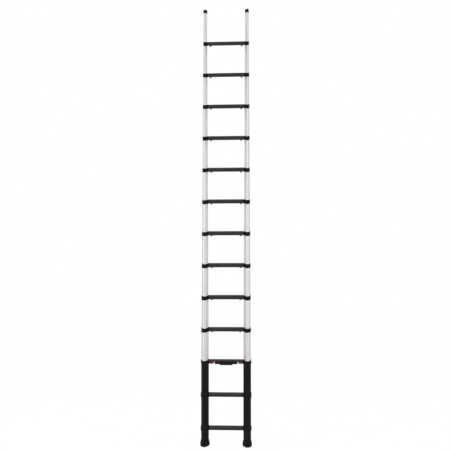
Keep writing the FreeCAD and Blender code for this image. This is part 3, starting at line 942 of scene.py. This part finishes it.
# Fine parallel lines left by a drawing die or a belt, and a slow cloud of tarnish.
along_share = 0.996             # of the change along the lines that is taken out
tree, given, put = group("drawn_lines", {"Across": 900.0, "Along X": 0.0, "Along Z": 0.0},
                         ("Lines", "Tarnish"))
where = object_place(tree)
axes = node_in(tree, "ShaderNodeSeparateXYZ", where).outputs
fine = {"Y": axes["Y"]}
for axis in ("X", "Z"):
    stretched = sum_of(tree, "MULTIPLY", given[f"Along {axis}"], along_share)
    fine[axis] = sum_of(tree, "MULTIPLY", axes[axis], sum_of(tree, "SUBTRACT", 1.0, stretched))
drawn = node_in(tree, "ShaderNodeCombineXYZ", **fine).outputs[0]
tree.links.new(cloud(tree, drawn, given["Across"], detail=3.0, rough=0.7), put["Lines"])
tree.links.new(cloud(tree, where, 9.0, detail=5.0, rough=0.6), put["Tarnish"])

ground_steel = bare_metal("ground_steel", steel_tone, roughness=0.32, along="X", line_scale=1400,
                          depth=0.00004)
for side, name in SIDES:
    for node, node_slot in ((f"release_link_{name}", "link_steel"), (f"lock_pin_{name}", "pin_steel")):
        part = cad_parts[node]
        part.data.materials.clear()
        part.data.materials.append(ground_steel)

# ==== Sliding stages ==================================================
# Ten stages, each smaller than the one below by a wall and a running gap. A stage
# is a pair of drawn aluminium tubes, clear-anodised; a nylon collar over the top
# of each; a rung between the collars; and two trip plungers under the rung, which
# the next rung down pushes in as the ladder closes.
stage_count = 10
collar_proud = 0.0016
plunger_from_stile = 0.030
plunger_width = 0.016
plunger_depth = 0.012
plunger_stands_out = 0.009
plunger_corner = 0.003
plunger_foot_round = 0.0015
plunger_rub_reach = 0.006       # how far rubbing fades from the foot
plunger_head_height = 0.0035
silver_tone = (0.635, 0.635, 0.625, 1)


def plunger_skin(name, side, apex, rise):
    """A trip plunger's stem, from its rounded foot up into the rung."""
    x = side * (apex - plunger_from_stile)
    foot = -rung_height / 2 - plunger_stands_out
    top = -rung_height / 2 + rung_wall + running_gap + plunger_head_height
    section = block_outline(plunger_width, -plunger_depth / 2, plunger_depth / 2, plunger_corner)
    size = np.array((plunger_width, plunger_depth))
    steps = [(plunger_foot_round * (1 - math.sin(turn)), foot + plunger_foot_round * (1 - math.cos(turn)), 1)
             for turn in np.linspace(0, math.pi / 2, 6)]
    steps += [(0, foot + plunger_rub_reach, 0), (0, top, 0)]
    rows = []
    for in_by, z, rubbed in steps:
        level = np.insert(section * (1 - 2 * in_by / size) + (x, 0), 2, z, axis=1)
        rows.append((leaned(level, rise), rubbed))
    return skin(name, rows, False)


tube_anodised = bare_metal("tube_anodised", silver_tone, roughness=0.4, along="Z", line_scale=1100,
                           depth=0.00002, tarnish=0.04)
plunger_nylon = grained_finish("plunger_nylon", nylon_black, nylon_rubbed, roughness=0.45, specular=0.14,
                               grain=(1200, 0.0002))
base_rung_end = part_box("release_rung")[1].x
for number in range(1, stage_count + 1):
    stage = f"stage_{number:02d}"
    rise = rung_rise(f"{stage}_rung")
    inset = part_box(f"{stage}_rung")[1].x - base_rung_end
    tube_low, tube_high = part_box(f"{stage}_tubes")
    for side, name in SIDES:
        tube = tube_skin(f"{stage}_tube_{name}", inset, side, tube_low.z, tube_high.z)
        if number == 1:
            tube = drilled(tube, side, name)
        place(tube, tube_anodised, stage, f"{stage}_tubes")
        collar = collar_skin(f"{stage}_collar_{name}", inset, side, rise, collar_height, collar_proud,
                             0.0, rung_height, tube_high.z)
        place(collar, collar_nylon, stage, f"{stage}_collars")
        plunger = plunger_skin(f"{stage}_plunger_{name}", side, apex_x(inset), rise)
        place(plunger, plunger_nylon, f"trips_{number:02d}", f"{stage}_trip_plungers")
    rung = rung_skin(f"{stage}_tread", f"{stage}_rung", rung_height)
    place(rung, rung_anodised, stage, f"{stage}_rung")

# ==== Top tubes and caps ==============================================
# The last and smallest pair of tubes slides out of the top stage with no rung
# between them. A moulded cap is pressed over the end of each.
cap_proud = 0.0016
cap_round = 0.0035
cap_rim = 0.0005
cap_core = 0.08                 # share of the cap's size at its innermost ring
cap_crown = 0.008
cap_dome = 0.0009               # the middle of the crown above its rounded edge
top_inset = (stile_depth - (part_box("top_tube_left")[1].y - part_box("top_tube_left")[0].y)) / 2
cap_black = (0.0085, 0.0085, 0.0085, 1)


def cap_skin(name, side, low, high):
    """A cap: up its side, round its edge and in over a shallow dome, with a bore for the tube from below.

    Over the dome z = top - dome * s^2, where s is the share of the way out.
    """
    out = cap_proud - top_inset
    bore = stile_ring(collar_fit - top_inset, side, high - cap_crown)
    lip = stile_ring(collar_fit - top_inset, side, low)
    rows = [(toward_middle(bore, cap_core), 0.0), (bore, 0.0), (lip, 0.0),
            (stile_ring(out - cap_rim, side, low), 0.6), (stile_ring(out, side, low + cap_rim), 1.0),
            (stile_ring(out, side, (low + high) / 2), 0.0)]
    for turn in np.linspace(0, math.pi / 2, 8):
        edge = stile_ring(out - cap_round * (1 - math.cos(turn)), side,
                          high - cap_dome - cap_round * (1 - math.sin(turn)))
        rows.append((edge, 0.8))
    for share in (0.85, 0.65, 0.45, 0.25, cap_core):
        ring = toward_middle(edge, share)
        ring[:, 2] = high - cap_dome * share**2
        rows.append((ring, 0.2))
    return skin(name, rows, False)


cap_plastic = grained_finish("cap_plastic", cap_black, nylon_rubbed, roughness=0.5, specular=0.12,
                             grain=(1100, 0.0003))
for side, name in SIDES:
    tube_low, tube_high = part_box(f"top_tube_{name}")
    tube = tube_skin(f"top_tube_{name}_drawn", top_inset, side, tube_low.z, tube_high.z)
    place(tube, tube_anodised, f"top_{name}", f"top_tube_{name}")
    cap_low, cap_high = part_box(f"top_cap_{name}")
    cap = cap_skin(f"cap_{name}", side, cap_low.z, cap_high.z)
    place(cap, cap_plastic, f"top_{name}", f"top_cap_{name}")
